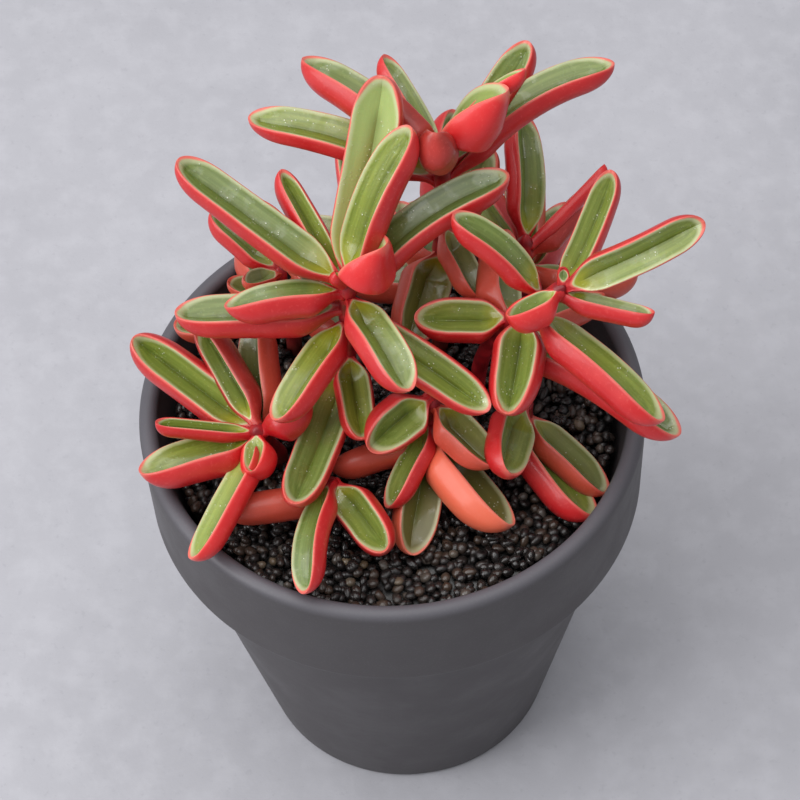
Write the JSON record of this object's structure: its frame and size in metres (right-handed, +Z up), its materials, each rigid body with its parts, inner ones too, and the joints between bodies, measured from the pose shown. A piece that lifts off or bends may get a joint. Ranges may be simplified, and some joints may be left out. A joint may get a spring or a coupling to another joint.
{
  "type": "potted plant",
  "caption": "Bushy ruby glow peperomia with boat-shaped green leaves and red undersides, rooted in a tapered charcoal pot under a black grit top dressing.",
  "frame": {"origin": "middle of the pot's foot, on the surface that the pot stands on", "axes": "+Z up along the pot's axis; -Y towards the picture's viewer; +X to the viewer's right"},
  "size_m": [0.1254, 0.122, 0.1958],
  "materials": {
    "pot": "matt charcoal",
    "soil": "crumbly, dark brown",
    "grit": "smooth black and brown grains",
    "foliage": "waxy leaves, green above and ruby red below"
  },
  "bodies": {
    "root": {"pot": "pot", "soil": "soil", "grit": "grit", "shoot_left": "foliage", "shoot_right": "foliage", "shoot_back": "foliage", "shoot_low_left": "foliage", "shoot_middle": "foliage", "shoot_front": "foliage", "shoot_low_right": "foliage", "shoot_back_right": "foliage", "shoot_back_left": "foliage", "shoot_rear": "foliage"}
  },
  "joints": []
}
